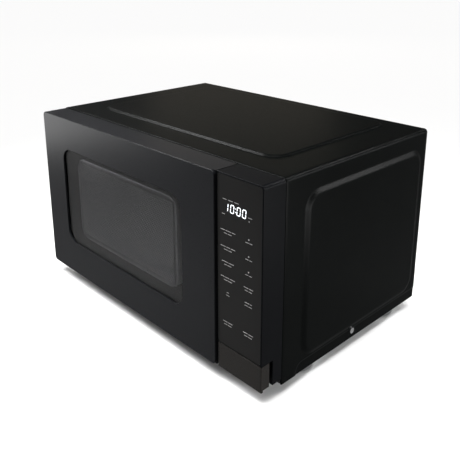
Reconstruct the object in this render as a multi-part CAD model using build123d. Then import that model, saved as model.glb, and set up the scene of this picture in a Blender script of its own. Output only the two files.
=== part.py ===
from build123d import *
import os

# Countertop microwave oven, 20 litre class, in millimetres.
# Origin: middle of the footprint, on the surface the feet rest on.
# +Z up, the door faces -Y, the control panel is on the +X side.

# ---------------------------------------------------------------- driving dimensions
WIDTH = 443.0             # over the raised panels of the side walls
DEPTH = 312.0             # door face to the rear edge of the cover
HEIGHT = 260.0            # over the raised field of the top
SIDE_RAISE = 2.5          # how far the pressed fields of the sides stand proud
TOP_RAISE = 2.0           # and that of the top
SHEET = 0.6               # steel sheet
FRONT_UNIT = 36.0         # door and control panel, in front of the cabinet
CABINET_BOTTOM = 15.0
REAR_INSET = 3.2          # rear panel inside the cover's edge
DOOR_BOTTOM = 22.0
DOOR_WIDTH = 368.5
DOOR_CORNER = 5.5
DOOR_GAP = 1.3            # between door and control panel
PANEL_SETBACK = 3.0       # control panel behind the door face
WALL = 3.0                # moulded door wall
BEZEL_WALL = 2.5          # moulded control panel wall

SIDE_X = WIDTH / 2 - SIDE_RAISE
TOP = HEIGHT - TOP_RAISE  # top of the door, the control panel and the cover's rim
DOOR_FACE = -DEPTH / 2
REAR = DEPTH / 2
PLATE_FACE = DOOR_FACE + FRONT_UNIT
PLATE_BACK = PLATE_FACE + SHEET
PANEL_FACE = DOOR_FACE + PANEL_SETBACK
DOOR_LEFT = -SIDE_X
DOOR_RIGHT = DOOR_LEFT + DOOR_WIDTH
DOOR_BACK = PLATE_FACE - 1.5
PANEL_LEFT = DOOR_RIGHT + DOOR_GAP
PANEL_RIGHT = SIDE_X
BASE_TOP = CABINET_BOTTOM + SHEET

SIDE_SCREW = (10.0, 26.0)  # (Y, Z) of the screw in each side wall

# cooking cavity, inside faces
CAV_LEFT, CAV_RIGHT = -205.0, 99.0
CAV_BACK = 144.0
CAV_FLOOR, CAV_ROOF = 36.0, 244.0
CAV_CORNER = 10.0

# door window
WIN_LEFT, WIN_RIGHT = -169.5, 93.5
WIN_BOTTOM, WIN_TOP = 71.0, 214.0
WIN_CORNER = 19.0
WIN_RECESS = 2.4
LENS = 3.0
SCREEN_Y = -134.0         # front of the inner door's flange
DISH_Y = -145.0           # front of the perforated field, pressed forward towards the pane
DISH_LEFT, DISH_RIGHT = -148.0, 73.0
DISH_BOTTOM, DISH_TOP = 81.5, 202.5
DISH_CORNER = 18.0

# door hinge
HINGE_X, HINGE_Y = -212.0, -131.5
PIN_R = 3.0
RUNNING = 0.08            # radial running clearance

# latch
HOOK_LEFT = 122.0
HOOK_WIDTH = 12.0
HOOK_BOTTOMS = (78.0, 200.0)
HOOK_HEIGHT = 8.0
HOOK_TIP = -98.0
BARB = 4.0
BUTTON_TOP = 52.7
BUTTON_BACK = -140.0      # rear edge of the button's side walls
BUTTON_LIP = 1.5          # its front lip reaches below the door
SLOT_BACK = -134.5        # wall behind the release button
BOARD_Y = -139.1          # front of the control board

# turntable
TABLE_X, TABLE_Y = -53.0, 12.4
TRAY_R = 122.5
ROLLER_R = 7.5
ROLLER_Z = CAV_FLOOR + 0.15 + ROLLER_R
TRAY_Z = ROLLER_Z + ROLLER_R + 0.15

# cooling fan and power parts
FAN_X, FAN_Z = 160.0, 165.0
FAN_R = 47.0
MAG_Y, MAG_Z = 52.0, 165.0
GUIDE_RIGHT = 139.8       # outer wall of the waveguide

# feet
FOOT_X = 187.0
FOOT_Y = (-63.0, 109.0)
FOOT_R = 30.0
FOOT_BOTTOM = 3.0


# ---------------------------------------------------------------- shape helpers
def block(x0, x1, y0, y1, z0, z1):
    """Box between two corners."""
    size = Box(x1 - x0, y1 - y0, z1 - z0)
    return Pos((x0 + x1) / 2, (y0 + y1) / 2, (z0 + z1) / 2) * size


def rod(axis, start, length, radius):
    """Cylinder from start, along +X, +Y or +Z."""
    turn = {"x": (0, 90, 0), "y": (-90, 0, 0), "z": (0, 0, 0)}[axis]
    low = (Align.CENTER, Align.CENTER, Align.MIN)
    return Pos(*start) * Rotation(*turn) * Cylinder(radius, length, align=low)


def tube(axis, start, length, outer, inner):
    """Hollow cylinder from start, along +X, +Y or +Z."""
    return rod(axis, start, length, outer) - rod(axis, start, length, inner)


def slab_y(x0, x1, z0, z1, y0, y1, radius):
    """Plate in the XZ plane with rounded corners, from y0 to y1."""
    outline = RectangleRounded(x1 - x0, z1 - z0, radius)
    middle = Plane(((x0 + x1) / 2, y0, (z0 + z1) / 2), x_dir=(1, 0, 0), z_dir=(0, 1, 0))
    return extrude(middle * outline, y1 - y0)


def slab_z(x0, x1, y0, y1, z0, z1, radius):
    """Plate in the XY plane with rounded corners, from z0 to z1."""
    outline = RectangleRounded(x1 - x0, y1 - y0, radius)
    return extrude(Pos((x0 + x1) / 2, (y0 + y1) / 2, z0) * outline, z1 - z0)


def prism_x(points, x0, x1):
    """Polygon in (Y, Z), extruded from x0 to x1."""
    face = make_face(Polyline(*[(x0, y, z) for y, z in points], close=True))
    return extrude(face, amount=x1 - x0, dir=(1, 0, 0))


def frustum(origin, normal, along, low, high, length, width, slope, radius):
    """Pressed field: rounded rectangle that narrows by slope from low to high."""
    faces = []
    for level, inset in ((low, 0.0), (high, slope)):
        plane = Plane(origin, x_dir=along, z_dir=normal).offset(level)
        outline = RectangleRounded(length - 2 * inset, width - 2 * inset, radius - inset)
        faces.append(plane * outline)
    return loft(faces, ruled=True)


def group(solids):
    """Separate solids kept in one node."""
    return Compound(children=[piece for solid in solids for piece in solid.solids()])


def coil_spring(start, direction, length, radius, wire, turns):
    """Closed-wire helical spring along direction."""
    path = Helix(pitch=(length - wire) / turns, height=length - wire, radius=radius)
    profile = Plane(origin=path @ 0, z_dir=path % 0) * Circle(wire / 2)
    coil = sweep(profile, path=path, is_frenet=True)
    stand = Plane(start, z_dir=direction).offset(wire / 2)
    return stand.location * coil


# ---------------------------------------------------------------- cabinet shell
def oven_cavity():
    """Welded box of the cooking space, open at the front."""
    outer = slab_y(CAV_LEFT - SHEET, CAV_RIGHT + SHEET, CAV_FLOOR - SHEET, CAV_ROOF + SHEET,
                   PLATE_BACK, CAV_BACK + SHEET, CAV_CORNER + SHEET)
    inner = slab_y(CAV_LEFT, CAV_RIGHT, CAV_FLOOR, CAV_ROOF, PLATE_BACK - 1, CAV_BACK, CAV_CORNER)
    box = outer - inner
    box -= rod("z", (TABLE_X, TABLE_Y, CAV_FLOOR - 2), 4, 6)
    box -= block(CAV_RIGHT - 1, CAV_RIGHT + 2, MAG_Y - 34, MAG_Y + 26, MAG_Z - 26, MAG_Z + 26)
    holes = []
    for row in range(4):
        for column in range(7):
            place = (CAV_RIGHT - 1, -50 + 5 * column, 148 + 5 * row)
            holes.append(rod("x", place, 3, 1.6))
            place = (CAV_LEFT - 2, 90 + 5 * column, 200 + 5 * row)
            holes.append(rod("x", place, 3, 1.6))
    for row in range(3):
        for column in range(3):
            place = (CAV_RIGHT - 1, -20 + 5 * column, 220 + 5 * row)
            holes.append(rod("x", place, 3, 1.6))
    return box - holes


def front_plate():
    """Steel frame that the door closes against."""
    plate = slab_y(-218, 218, CABINET_BOTTOM, 257, PLATE_FACE, PLATE_BACK, 3)
    plate -= slab_y(CAV_LEFT, CAV_RIGHT, CAV_FLOOR, CAV_ROOF, PLATE_FACE - 1, PLATE_BACK + 1,
                    CAV_CORNER)
    for bottom in HOOK_BOTTOMS:
        low, high = bottom - 6.5, bottom + 15
        plate -= block(HOOK_LEFT - 3, HOOK_LEFT + 16, PLATE_FACE - 1, PLATE_BACK + 1, low, high)
    plate -= block(151.5, 162.5, PLATE_FACE - 1, PLATE_BACK + 1, 27, 43)
    plate -= block(166, 212, PLATE_FACE - 1, PLATE_BACK + 1, 70, 230)
    return plate


def base_plate():
    """Bottom sheet with four pressed round feet and air slots."""
    plate = block(-218, 218, PLATE_BACK, REAR - REAR_INSET - 0.2, CABINET_BOTTOM, BASE_TOP)
    for x in (-FOOT_X, FOOT_X):
        for y in FOOT_Y:
            top = Plane((x, y, BASE_TOP))
            low = Plane((x, y, FOOT_BOTTOM))
            plate += loft([top * Circle(FOOT_R), low * Circle(FOOT_R - 5)], ruled=True)
            inner_low = Plane((x, y, FOOT_BOTTOM + SHEET))
            plate -= loft([top * Circle(FOOT_R - SHEET), inner_low * Circle(FOOT_R - 5.6)], ruled=True)
    for row in range(6):
        x = -130 + 30 * row
        plate -= block(x, x + 20, -95, -90, CABINET_BOTTOM - 1, BASE_TOP + 1)
        plate -= block(x, x + 20, -83, -78, CABINET_BOTTOM - 1, BASE_TOP + 1)
    return plate


def foot_pads():
    """Rubber pads under the pressed feet."""
    pads = []
    for x in (-FOOT_X, FOOT_X):
        for y in FOOT_Y:
            pads.append(rod("z", (x, y, 0), FOOT_BOTTOM, 14))
    return group(pads)


def rear_panel():
    """Rear sheet with air slots and the hole of the cord inlet."""
    front = REAR - REAR_INSET
    back = front + SHEET
    panel = slab_y(-217.8, 217.8, BASE_TOP + 0.2, 256.8, front, back, 4)
    panel -= rod("y", (195, front - 1, 45), 4, 8.1)
    for row in range(8):
        z = 120 + 10 * row
        panel -= block(112, 152, front - 1, back + 1, z, z + 4)
        panel -= block(166, 206, front - 1, back + 1, z, z + 4)
    for row in range(5):
        z = 190 + 10 * row
        panel -= block(-190, -110, front - 1, back + 1, z, z + 4)
    return panel


def outer_cover():
    """Folded sheet over both sides and the top, with pressed fields."""
    fold = 4.0
    y0, y1 = PLATE_FACE, REAR
    outer = slab_y(-SIDE_X, SIDE_X, CABINET_BOTTOM - 20, TOP, y0, y1, fold)
    inner = slab_y(-SIDE_X + SHEET, SIDE_X - SHEET, CABINET_BOTTOM - 30, TOP - SHEET,
                   y0 - 1, y1 + 1, fold - SHEET)
    cover = outer - inner
    cover -= block(-230, 230, y0 - 5, y1 + 5, CABINET_BOTTOM - 50, CABINET_BOTTOM)
    field_z, field_y = (30.0, 237.0), (-90.0, 147.0)
    middle_y = sum(field_y) / 2
    middle_z = sum(field_z) / 2
    long_side = field_y[1] - field_y[0]
    tall_side = field_z[1] - field_z[0]
    for side in (-1, 1):
        origin = (side * SIDE_X, middle_y, middle_z)
        normal = (side, 0, 0)
        cover += frustum(origin, normal, (0, 1, 0), -0.2, SIDE_RAISE, long_side, tall_side, 9, 24)
        origin = (side * (SIDE_X - SHEET), middle_y, middle_z)
        cover -= frustum(origin, normal, (0, 1, 0), -0.2, SIDE_RAISE, long_side, tall_side, 9, 24)
    top_x, top_y = (-180.0, 172.0), (-84.0, 141.0)
    centre = (sum(top_x) / 2, sum(top_y) / 2)
    wide = top_x[1] - top_x[0]
    deep = top_y[1] - top_y[0]
    origin = (*centre, TOP)
    cover += frustum(origin, (0, 0, 1), (1, 0, 0), -0.2, TOP_RAISE, wide, deep, 4, 24)
    origin = (*centre, TOP - SHEET)
    cover -= frustum(origin, (0, 0, 1), (1, 0, 0), -0.2, TOP_RAISE, wide, deep, 4, 24)
    for side in (-1, 1):
        cover -= rod("x", (side * SIDE_X - 4, *SIDE_SCREW), 8, 2.1)
    return cover


def cover_screws():
    """Pan-head screws of the cover's side walls and of the rear panel."""
    screws = []
    for side in (-1, 1):
        head = rod("x", (side * SIDE_X - (1.9 if side < 0 else 0), *SIDE_SCREW), 1.9, 3.8)
        start = SIDE_X - 8 if side > 0 else -SIDE_X
        screws.append(head + rod("x", (start, *SIDE_SCREW), 8, 2.0))
    for x, z in ((-208, 246), (208, 246), (-208, 30), (208, 70)):
        screws.append(rod("y", (x, REAR - REAR_INSET + SHEET, z), 1.9, 3.8))
    return group(screws)


def cord_gland():
    """Moulded strain-relief bush of the mains inlet, with its through hole."""
    front = REAR - REAR_INSET
    bush = rod("y", (195, front, 45), 3.0, 8.0) + rod("y", (195, front - 9, 45), 9, 10)
    return bush - rod("y", (195, front - 10, 45), 14, 4.0)


# ---------------------------------------------------------------- hinges and interlock
def hinge(arm_low, pin_low, pin_length):
    """Steel bracket on the front plate with one vertical pin."""
    arm = block(HINGE_X - 4, HINGE_X + 4, HINGE_Y, PLATE_FACE, arm_low, arm_low + 2)
    arm += rod("z", (HINGE_X, HINGE_Y, arm_low), 2, 4)
    return arm + rod("z", (HINGE_X, HINGE_Y, pin_low), pin_length, PIN_R)


def interlock_bracket():
    """Moulded board behind the front plate: catch ledges, switch seats, lifter guides."""
    board = block(137, 140, PLATE_BACK, -82, 58, 226)
    board -= block(136, 141, -107, -95.5, 62.5, 82.5)
    for bottom in HOOK_BOTTOMS:
        top = bottom - BARB - 0.5
        board += block(HOOK_LEFT - 2, 137, -117, -107.5, top - 4, top)
    for z in (69, 191):
        board += block(119, 137, -84.8, -82, z, z + 26)
    for y0, y1 in ((-112, -108.6), (-94.4, -91)):
        board += block(140, 164, y0, y1, 46, 58.0)
        board += block(137, 164, y0, y1, 58.0, 62)
    return board


def microswitches():
    """Three snap-action switches of the door interlock."""
    bodies = []
    for x, z in ((121.0, 72.0), (129.0, 72.0), (121.0, 194.0)):
        body = block(x, x + 6.4, -95, -85, z, z + 20)
        body -= rod("y", (x + 3.2, -96, z + 10), 6, 1.6)
        bodies.append(body)
    return group(bodies)


def switch_plungers():
    """Plungers of the three switches."""
    pins = []
    for x, z in ((124.2, 82.0), (132.2, 82.0), (124.2, 204.0)):
        pins.append(rod("y", (x, -97.5, z), 5.5, 1.5))
    return group(pins)


# ---------------------------------------------------------------- door
def plan_outline(x0, x1, y0, y1, z0, z1, radius):
    """Block whose rear left upright edge is rounded."""
    body = block(x0, x1, y0, y1, z0, z1)
    body -= block(x0, x0 + radius, y1 - radius, y1, z0, z1)
    return body + rod("z", (x0 + radius, y1 - radius, z0), z1 - z0, radius)


def hinge_notches():
    """Room that the fixed hinge arms need inside the door."""
    low = block(DOOR_LEFT - 5, HINGE_X + 7, HINGE_Y - 7.5, DOOR_BACK + 2, DOOR_BOTTOM + 3, 29.2)
    high = block(DOOR_LEFT - 5, HINGE_X + 7, HINGE_Y - 7.5, DOOR_BACK + 2, 250.8, TOP - 3)
    return low, high


def door_frame():
    """Moulded door body with a recessed window opening."""
    step = DOOR_FACE + PANEL_SETBACK
    shape = plan_outline(DOOR_LEFT, DOOR_RIGHT, DOOR_FACE, DOOR_BACK, DOOR_BOTTOM, TOP, 6)
    rounded = slab_y(DOOR_LEFT, DOOR_RIGHT, DOOR_BOTTOM, TOP, DOOR_FACE, DOOR_BACK, DOOR_CORNER)
    rounded += block(0, DOOR_RIGHT, step, DOOR_BACK, DOOR_BOTTOM, TOP)
    shape &= rounded
    front = shape.faces().sort_by(Axis.Y)[0]
    shape = fillet(front.edges(), 1.0)
    hollow = plan_outline(DOOR_LEFT + WALL, DOOR_RIGHT - WALL, DOOR_FACE + WALL, DOOR_BACK + 1,
                          DOOR_BOTTOM + WALL, TOP - WALL, 3)
    shape -= hollow
    shape -= slab_y(WIN_LEFT - 8, WIN_RIGHT + 8, WIN_BOTTOM - 8, WIN_TOP + 8,
                    DOOR_FACE + WIN_RECESS, DOOR_FACE + WALL + 1, WIN_CORNER + 8)
    shape -= slab_y(WIN_LEFT, WIN_RIGHT, WIN_BOTTOM, WIN_TOP,
                    DOOR_FACE - 1, DOOR_FACE + WIN_RECESS + 1, WIN_CORNER)
    for z0, z1 in ((29.5, 35.5), (244.5, 250.5)):
        shape += block(DOOR_LEFT + 1, HINGE_X + 5.5, HINGE_Y - 5.5, HINGE_Y + 5.5, z0, z1)
    for x in (HOOK_LEFT - 3, HOOK_LEFT + HOOK_WIDTH + 1):
        shape += block(x, x + 2, DOOR_FACE + 2, -134.5, 110, 150)
    shape += block(HOOK_LEFT, HOOK_LEFT + HOOK_WIDTH, DOOR_FACE + 2, -129, 247, TOP - 2)
    for notch in hinge_notches():
        shape -= notch
    return shape - rod("z", (HINGE_X, HINGE_Y, 26), 230, PIN_R + RUNNING)


def door_lens():
    """Smoked window pane let into the back of the frame's rim."""
    y0 = DOOR_FACE + WIN_RECESS
    return slab_y(WIN_LEFT - 7.5, WIN_RIGHT + 7.5, WIN_BOTTOM - 7.5, WIN_TOP + 7.5,
                  y0, y0 + LENS, WIN_CORNER + 7)


def door_screen():
    """Steel inner door: dished screen sheet with a choke channel around it."""
    x0, x1, z0, z1 = -214.0, 110.0, 30.0, 247.0
    back = -123.2
    pan = slab_y(x0, x1, z0, z1, SCREEN_Y, back, 4)
    pan -= slab_y(x0 + SHEET, x1 - SHEET, z0 + SHEET, z1 - SHEET, SCREEN_Y + SHEET, back + 1, 3.2)
    pan += slab_y(DISH_LEFT, DISH_RIGHT, DISH_BOTTOM, DISH_TOP, DISH_Y, SCREEN_Y + SHEET,
                  DISH_CORNER)
    pan -= slab_y(DISH_LEFT + SHEET, DISH_RIGHT - SHEET, DISH_BOTTOM + SHEET, DISH_TOP - SHEET,
                  DISH_Y + SHEET, SCREEN_Y + 1, DISH_CORNER - SHEET)
    ring = slab_y(-197, 93, 46, 231, SCREEN_Y + SHEET / 2, back, 14)
    ring -= slab_y(-197 + SHEET, 93 - SHEET, 46 + SHEET, 231 - SHEET, SCREEN_Y, back + 1, 13.2)
    pan += ring
    for low, high in ((20, 36.5), (243.5, 260)):
        pan -= block(-220, HINGE_X + 6.5, SCREEN_Y - 5, back + 5, low, high)
    return pan


def door_liner():
    """Moulded ring that covers the choke channel at the back of the door."""
    y0 = DOOR_BACK - 1.5
    ring = slab_y(-212.6, DOOR_RIGHT - WALL - 0.2, DOOR_BOTTOM + 3.2, TOP - 3.2,
                  y0, DOOR_BACK, 3)
    ring -= slab_y(-196, 92, 47, 230, y0 - 1, DOOR_BACK + 1, 13)
    for bottom in HOOK_BOTTOMS:
        low, high = bottom - 6.5, bottom + 15
        ring -= block(HOOK_LEFT - 3, HOOK_LEFT + 16, y0 - 1, DOOR_BACK + 1, low, high)
    for notch in hinge_notches():
        ring -= notch
    return ring


def door_inner_film():
    """Clear film on the cavity side of the screen."""
    return slab_y(-195.9, 91.9, 47.1, 229.9, SCREEN_Y + SHEET + 0.1, SCREEN_Y + SHEET + 0.5, 14)


def latch_key():
    """Latch bar with two hooks that reach through the front plate."""
    right = HOOK_LEFT + HOOK_WIDTH
    bar = block(HOOK_LEFT, right, -140, -134, 66, 225)
    for bottom in HOOK_BOTTOMS:
        top = bottom + HOOK_HEIGHT
        outline = [(-135, bottom), (HOOK_TIP - 7, bottom), (HOOK_TIP - 7, bottom - BARB),
                   (HOOK_TIP - 2, bottom - BARB), (HOOK_TIP, bottom - 1), (HOOK_TIP, top - 2),
                   (HOOK_TIP - 3, top), (-135, top)]
        bar += prism_x(outline, HOOK_LEFT, right)
    return bar


def latch_spring():
    """Spring that holds the latch bar down."""
    return coil_spring((128, -137, 225.2), (0, 0, 1), 21.6, 3.6, 0.9, 7)


# ---------------------------------------------------------------- control panel
def escutcheon():
    """Moulded control panel shell, cut back at the bottom for the release button."""
    upper = slab_y(PANEL_LEFT, PANEL_RIGHT, BUTTON_TOP + 0.6, TOP, PANEL_FACE, PLATE_FACE, 4.5)
    upper += block(PANEL_LEFT, PANEL_RIGHT, PANEL_FACE, PLATE_FACE, BUTTON_TOP + 0.6, 80)
    upper += block(PANEL_LEFT, 200, PANEL_FACE, PLATE_FACE, 80, TOP)
    upper = fillet(upper.faces().sort_by(Axis.Y)[0].edges(), 1.0)
    upper -= slab_y(PANEL_LEFT + BEZEL_WALL, PANEL_RIGHT - BEZEL_WALL,
                    BUTTON_TOP + 0.6 + BEZEL_WALL, TOP - BEZEL_WALL,
                    PANEL_FACE + BEZEL_WALL, PLATE_FACE + 1, 2)
    lower = block(PANEL_LEFT, PANEL_RIGHT, SLOT_BACK, PLATE_FACE, DOOR_BOTTOM, 60)
    lower -= block(PANEL_LEFT + BEZEL_WALL, PANEL_RIGHT - BEZEL_WALL, SLOT_BACK + 2,
                   PLATE_FACE + 1, DOOR_BOTTOM + BEZEL_WALL, 61)
    shell = upper + lower
    shell -= block(PANEL_LEFT + BEZEL_WALL, PANEL_RIGHT - BEZEL_WALL, SLOT_BACK + 2,
                   PLATE_FACE + 1, 50, 62)
    shell -= slab_y(PANEL_LEFT + 1.2, PANEL_RIGHT - 1.5, BUTTON_TOP + 2.1, TOP - 1.5,
                    PANEL_FACE - 1, PANEL_FACE + 0.6, 3)
    shell -= block(160, 210, PANEL_FACE - 1, PANEL_FACE + 4, 205, 232)
    shell -= block(152.5, 161.5, SLOT_BACK - 1, SLOT_BACK + 3, 28.5, 41.5)
    for x in (157.5, 212.5):
        for z in (72, 196):
            shell += rod("y", (x, PANEL_FACE + 2, z), BOARD_Y - PANEL_FACE - 2, 2.2)
    return shell


def keypad_overlay():
    """Printed membrane over the control panel, with the display window in it."""
    return slab_y(PANEL_LEFT + 1.3, PANEL_RIGHT - 1.6, BUTTON_TOP + 2.2, TOP - 1.6,
                  PANEL_FACE, PANEL_FACE + 0.6, 2.9)


def release_button():
    """Full-width door button with its stem and wedge nose."""
    low = DOOR_BOTTOM - BUTTON_LIP
    body = block(PANEL_LEFT + 0.3, PANEL_RIGHT, PANEL_FACE, BUTTON_BACK, low, BUTTON_TOP)
    body = fillet(body.faces().sort_by(Axis.Y)[0].edges(), 1.2)
    body -= block(PANEL_LEFT, PANEL_RIGHT + 1, PANEL_FACE + 3.4, BUTTON_BACK + 1, low - 1, low + 2.6)
    body -= block(PANEL_LEFT + 2.6, PANEL_RIGHT - 2.3, PANEL_FACE + 2.6, BUTTON_BACK + 1,
                  low + 4.8, BUTTON_TOP - 2.3)
    nose = [(PANEL_FACE + 2, 30), (-100, 30), (-111.1, 40), (PANEL_FACE + 2, 40)]
    body += prism_x(nose, 154, 160)
    return body + rod("y", (195, PANEL_FACE + 2, 37), 4, 2.8)


def button_spring():
    """Return spring of the release button."""
    start = PANEL_FACE + 3.0
    return coil_spring((195, start, 37), (0, 1, 0), SLOT_BACK - 0.4 - start, 4.4, 0.9, 6)


def release_lifter():
    """Sliding lifter: the button's wedge raises it and it raises the lower hook."""
    foot = [(-108, 37.6), (-100, 30.4), (-95, 30.4), (-95, 73.6), (-108, 73.6)]
    body = prism_x(foot, 154, 160)
    return body + block(HOOK_LEFT, 154.5, -104, -99, 66, 73.6)


def display_module():
    """Display glass with its body behind the panel window."""
    return block(158, 212, PANEL_FACE + 2.6, PANEL_FACE + 8.1, 203, 234)


def control_board():
    """Printed board behind the control panel."""
    return block(156, 214, BOARD_Y, BOARD_Y + 1.6, 66, 242)


def board_components():
    """Relays, small transformer, buzzer and capacitors on the control board."""
    back = BOARD_Y + 1.6
    parts = [
        block(160, 178, back, back + 15, 76, 92),
        block(186, 204, back, back + 15, 76, 92),
        block(162, 200, back, back + 16, 104, 136),
        tube("y", (172, back, 156), 8, 9, 2),
        rod("y", (196, back, 152), 14, 5),
        rod("y", (196, back, 166), 10, 4),
        block(160, 206, back, back + 4, 180, 200),
        block(166, 176, back, back + 9, 216, 234),
    ]
    return group(parts)


# ---------------------------------------------------------------- microwave power
def waveguide():
    """Rectangular duct from the magnetron to the opening in the cavity wall."""
    x0, x1 = CAV_RIGHT + SHEET, GUIDE_RIGHT
    y0, y1, z0, z1 = MAG_Y - 42, MAG_Y + 38, MAG_Z - 38, MAG_Z + 38
    body = block(x0, x1, y0, y1, z0, z1)
    body -= block(x0 - 1, x1 - SHEET, y0 + SHEET, y1 - SHEET, z0 + SHEET, z1 - SHEET)
    return body - rod("x", (x1 - 2, MAG_Y, MAG_Z), 4, 14)


def waveguide_cover():
    """Mica sheet over the waveguide opening, inside the cavity."""
    return block(CAV_RIGHT - 0.5, CAV_RIGHT, MAG_Y - 40, MAG_Y + 32, MAG_Z - 32, MAG_Z + 32)


def magnetron_body():
    """Magnetron yoke with its mounting flange."""
    flange = block(GUIDE_RIGHT, GUIDE_RIGHT + 1.6, MAG_Y - 46, MAG_Y + 46, MAG_Z - 32, MAG_Z + 32)
    flange -= rod("x", (GUIDE_RIGHT - 1, MAG_Y, MAG_Z), 4, 12.2)
    yoke = block(GUIDE_RIGHT + 1.6, 190, MAG_Y - 38, MAG_Y + 38, MAG_Z - 30, MAG_Z + 30)
    yoke -= block(GUIDE_RIGHT + 3.2, 188.4, MAG_Y - 39, MAG_Y + 39, MAG_Z - 28.4, MAG_Z + 28.4)
    yoke -= rod("x", (GUIDE_RIGHT, MAG_Y, MAG_Z), 5, 12.2)
    yoke -= rod("x", (187, MAG_Y, MAG_Z), 5, 12.2)
    anode = rod("x", (GUIDE_RIGHT + 3.2, MAG_Y, MAG_Z), 188.4 - GUIDE_RIGHT - 3.2, 17)
    return flange + yoke + anode


def magnetron_fins():
    """Stack of aluminium cooling fins around the anode."""
    fins = []
    for index in range(6):
        x = 150 + 6 * index
        fin = block(x, x + 0.8, MAG_Y - 34, MAG_Y + 34, MAG_Z - 28, MAG_Z + 28)
        fins.append(fin - rod("x", (x - 1, MAG_Y, MAG_Z), 3, 17.02))
    return group(fins)


def magnetron_antenna():
    """Ceramic and cap of the magnetron output, inside the waveguide."""
    antenna = rod("x", (GUIDE_RIGHT - 2, MAG_Y, MAG_Z), 5.2, 12)
    return antenna + rod("x", (112, MAG_Y, MAG_Z), 27, 7.5)


def filter_box():
    """Filter box with the heater terminals of the magnetron."""
    box = block(190, 212, MAG_Y - 30, MAG_Y + 30, MAG_Z - 25, MAG_Z + 25)
    box -= block(190.6, 211.4, MAG_Y - 29.4, MAG_Y + 29.4, MAG_Z - 24.4, MAG_Z + 24.4)
    return box + block(196, 206, MAG_Y + 30, MAG_Y + 42, MAG_Z - 9, MAG_Z + 9)


TRAFO_X = (128.0, 176.0)
TRAFO_Y = (45.0, 139.0)
TRAFO_Z = (BASE_TOP + 0.2, 94.0)


def hv_transformer_core():
    """Laminated core of the high-voltage transformer, with two windows."""
    core = block(*TRAFO_X, *TRAFO_Y, *TRAFO_Z)
    for y0, y1 in ((59, 80), (104, 125)):
        core -= block(TRAFO_X[0] - 1, TRAFO_X[1] + 1, y0, y1, 30, 80)
    return core + block(118, 186, 41, 143, TRAFO_Z[0], TRAFO_Z[0] + 2)


def hv_transformer_windings():
    """Primary and secondary coils on the middle leg."""
    coils = []
    for z0, z1 in ((30.5, 54), (56, 79.5)):
        outer = slab_z(116, 188, 60, 124, z0, z1, 8)
        coils.append(outer - block(TRAFO_X[0] - 0.3, TRAFO_X[1] + 0.3, 79.7, 104.3, z0 - 1, z1 + 1))
    return group(coils)


def hv_capacitor():
    """Oval can of the high-voltage capacitor with two terminals."""
    can = slab_z(120, 170, -40, -8, 24, 112, 15.9)
    for x in (134, 156):
        can += block(x - 3, x + 3, -24.4, -23.6, 112, 122)
    return can


def capacitor_clamp():
    """Steel strap that holds the capacitor to the base."""
    strap = slab_z(119, 171, -41, -7, 50, 64, 16.9)
    strap -= slab_z(119.9, 170.1, -40.1, -7.9, 49, 65, 16)
    foot = block(171, 178, -26, -22, BASE_TOP, 60) - block(170, 172, -30, -18, 0, 49.9)
    return strap + foot


def hv_diode():
    """High-voltage diode with its earth tag."""
    body = rod("y", (190, -45, 30), 22, 4)
    body += rod("y", (190, -25, 30), 40, 0.8)
    return body + block(186, 194, 14, 22, 29.2, 30.8)


def fan_shroud():
    """Moulded plate with the fan ring and a rear mount for the motor."""
    y0 = 106.0
    plate = block(104, 216, y0, y0 + 2, 108, 222)
    plate += tube("y", (FAN_X, y0, FAN_Z), 22, FAN_R + 5, FAN_R + 3)
    plate -= rod("y", (FAN_X, y0 - 1, FAN_Z), 4, FAN_R + 3)
    disc = rod("y", (FAN_X, y0 + 20, FAN_Z), 2, 16)
    for turn in range(3):
        arm = block(-2.5, 2.5, y0 + 20, y0 + 22, 8, FAN_R + 4)
        disc += Pos(FAN_X, 0, FAN_Z) * Rotation(0, 120 * turn + 60, 0) * arm
    disc -= rod("y", (FAN_X, y0 + 19, FAN_Z), 4, 4)
    shelf = block(104, 216, 74, y0 + 2, 222, 224)
    return plate + disc + shelf


def fan_motor():
    """Shaded-pole motor of the cooling fan."""
    stack = block(FAN_X - 24, FAN_X + 24, 130, 146, FAN_Z - 22, FAN_Z + 14)
    stack += block(FAN_X - 14, FAN_X + 14, 128, 150, FAN_Z - 44, FAN_Z - 23)
    stack += block(FAN_X - 8, FAN_X + 8, 130, 146, FAN_Z - 24, FAN_Z - 20)
    stack += tube("y", (FAN_X, 128, FAN_Z), 22, 10, 2.1)
    return stack - rod("y", (FAN_X, 127, FAN_Z), 24, 2.1)


def fan_blade():
    """Five-blade fan wheel."""
    wheel = rod("y", (FAN_X, 111, FAN_Z), 12, 11)
    for index in range(5):
        blade = block(8, FAN_R, -1, 1, -15, 15)
        blade &= rod("y", (0, -20, 0), 40, FAN_R)
        place = Pos(FAN_X, 117, FAN_Z) * Rotation(0, 72 * index, 0) * Rotation(24, 0, 0)
        wheel += place * blade
    return wheel


def fan_shaft():
    """Steel shaft of the fan wheel."""
    return rod("y", (FAN_X, 123, FAN_Z), 24, 2.0)


def air_duct():
    """Moulded duct from the magnetron to the air holes of the cavity."""
    x0 = CAV_RIGHT + SHEET
    outer = [(x0, -56), (210, -10), (210, 4), (x0, 4)]
    inner = [(x0 - 2, -54), (208, -8.4), (208, 6), (x0 - 2, 6)]
    z0, z1 = MAG_Z - 34, MAG_Z + 34
    shape = extrude(make_face(Polyline(*[(x, y, z0) for x, y in outer], close=True)), z1 - z0)
    core = make_face(Polyline(*[(x, y, z0 + 2) for x, y in inner], close=True))
    return shape - extrude(core, z1 - z0 - 4)


def lamp_holder():
    """Holder of the cavity lamp on the outside of the cavity wall."""
    x0 = CAV_RIGHT + SHEET
    box = block(x0, x0 + 34, -30, 2, 210, 242)
    return box - block(x0 - 1, x0 + 31, -28, 0, 212, 240)


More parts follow.
